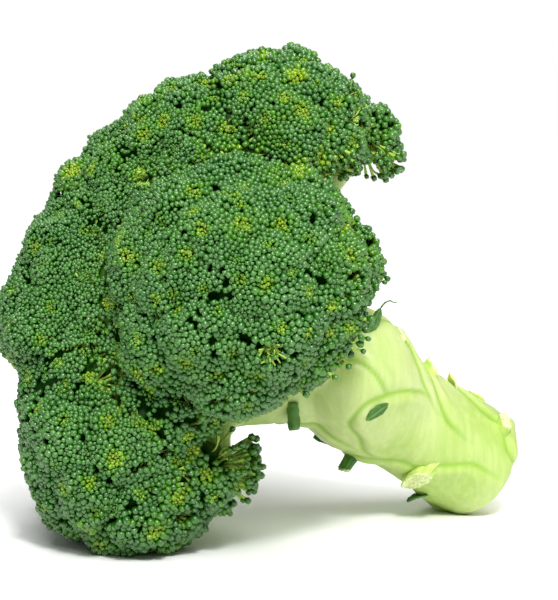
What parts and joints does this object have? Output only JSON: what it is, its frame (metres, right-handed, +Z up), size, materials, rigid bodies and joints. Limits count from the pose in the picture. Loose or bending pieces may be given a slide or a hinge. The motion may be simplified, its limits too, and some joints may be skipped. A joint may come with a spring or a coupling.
{
  "type": "broccoli head",
  "caption": "Fresh broccoli head with a thick pale stalk, fanning branches and a domed green crown of flower buds, lying on its side.",
  "frame": {"origin": "middle of the head's box on the table plane, with the head lying as it rests: on the lower edge of the stalk's cut end and on the rims of its two lowest crowns", "axes": "+Z up from the table; +X towards the stalk's cut end, so the stalk's axis lies in the XZ plane and rises towards -X, where the crown is; +Y to the back, away from the largest crown"},
  "size_m": [0.1738, 0.1448, 0.1526],
  "materials": {
    "stalk_flesh": "satin",
    "branch_flesh": "satin",
    "flower_buds": "matte",
    "stub_flesh": "matte",
    "leaf_green": "satin",
    "young_leaf": "satin"
  },
  "bodies": {
    "root": {"bract_back": "leaf_green", "bract_front": "leaf_green", "bract_lower": "leaf_green", "bract_shoulder": "leaf_green", "bract_upper": "leaf_green", "branch_back_lower": "branch_flesh", "branch_back_middle": "branch_flesh", "branch_back_upper": "branch_flesh", "branch_front": "branch_flesh", "branch_left_lower": "branch_flesh", "branch_left_upper": "branch_flesh", "branch_lower": "branch_flesh", "branch_lower_inner": "branch_flesh", "branch_lower_rim": "branch_flesh", "branch_right": "branch_flesh", "branch_top_lower": "branch_flesh", "branch_top_upper": "branch_flesh", "branch_upper_left": "branch_flesh", "branch_upper_middle": "branch_flesh", "branch_upper_right": "branch_flesh", "branch_upper_rim": "branch_flesh", "crown_back_lower": "flower_buds", "crown_back_middle": "flower_buds", "crown_back_upper": "flower_buds", "crown_front": "flower_buds", "crown_left_lower": "flower_buds", "crown_left_upper": "flower_buds", "crown_lower": "flower_buds", "crown_lower_inner": "flower_buds", "crown_lower_rim": "flower_buds", "crown_right": "flower_buds", "crown_top_lower": "flower_buds", "crown_top_upper": "flower_buds", "crown_upper_left": "flower_buds", "crown_upper_middle": "flower_buds", "crown_upper_right": "flower_buds", "crown_upper_rim": "flower_buds", "leaf_stub_1": "stub_flesh", "leaf_stub_2": "stub_flesh", "leaf_stub_3": "stub_flesh", "leaf_stub_4": "stub_flesh", "leaf_stub_5": "stub_flesh", "leaf_stub_6": "stub_flesh", "leaf_stub_7": "stub_flesh", "leaf_stub_8": "stub_flesh", "stalk": "stalk_flesh", "young_leaf": "young_leaf"}
  },
  "joints": []
}
